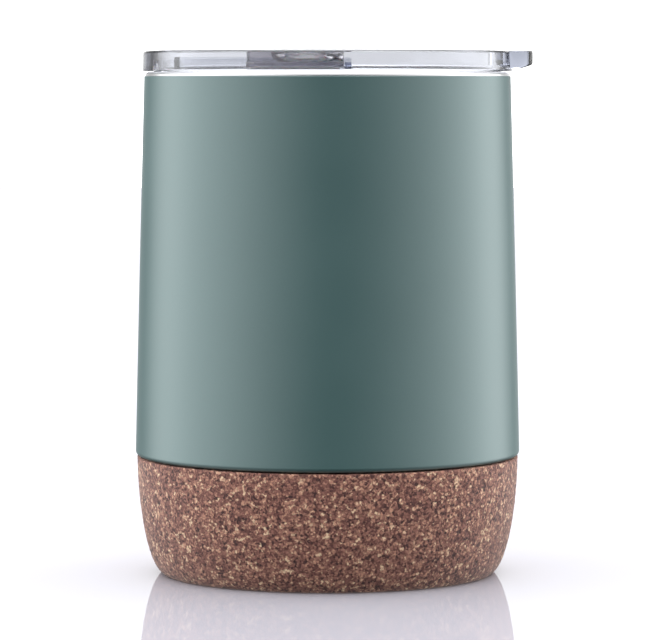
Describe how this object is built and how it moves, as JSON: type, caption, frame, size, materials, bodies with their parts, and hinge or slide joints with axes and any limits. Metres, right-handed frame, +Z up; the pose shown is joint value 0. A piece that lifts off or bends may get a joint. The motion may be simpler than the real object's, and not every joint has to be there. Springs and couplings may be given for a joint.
{
  "type": "insulated travel cup",
  "caption": "Double-walled steel travel cup with a cork base and a clear press-in lid that has a thumb tab and a sliding drink closure.",
  "frame": {"origin": "middle of the flat underside of the cork base, on the cup's axis", "axes": "+Z up along the cup's axis, +X towards the lid's thumb tab, so the drink opening is towards -X"},
  "size_m": [0.0848, 0.0824, 0.1119],
  "materials": {
    "cork": "fine agglomerated cork, lightly sealed",
    "adhesive": "cured contact adhesive",
    "painted_steel": "satin metallic teal-green paint",
    "bare_steel": "as drawn",
    "sealing_glass": "fused bead",
    "getter": "pressed powder",
    "foil": "bright foil",
    "liner_steel": "electropolished inside, polished lip",
    "silicone": "translucent silicone",
    "clear_plastic": "clear, glossy, moulded",
    "smoke_plastic": "smoke-grey translucent, moulded",
    "pad_silicone": "matt silicone"
  },
  "bodies": {
    "cup": {"cork_base": "cork", "adhesive_pad": "adhesive", "adhesive_band": "adhesive", "outer_shell": "painted_steel", "outer_bottom": "bare_steel", "vacuum_seal": "sealing_glass", "getter_pellet": "getter", "getter_strap": "bare_steel", "radiation_foil": "foil", "liner_wall": "liner_steel", "liner_bottom": "liner_steel"},
    "seal": {"lid_seal": "silicone"},
    "lid": {"lid_body": "clear_plastic"},
    "closure": {"closure_slider": "smoke_plastic", "slider_pad": "pad_silicone"}
  },
  "joints": [
    {"name": "lid_lift", "type": "slide", "parent": "cup", "child": "seal", "axis": [0, 0, 1], "range_m": [0, 0.04]},
    {"name": "lid_turn", "type": "hinge", "parent": "seal", "child": "lid", "pos_m": [0, 0, 0.1075], "axis": [0, 0, 1], "continuous": true},
    {"name": "closure_slide", "type": "slide", "parent": "lid", "child": "closure", "axis": [-1, 0, 0], "range_m": [0, 0.0157]}
  ]
}
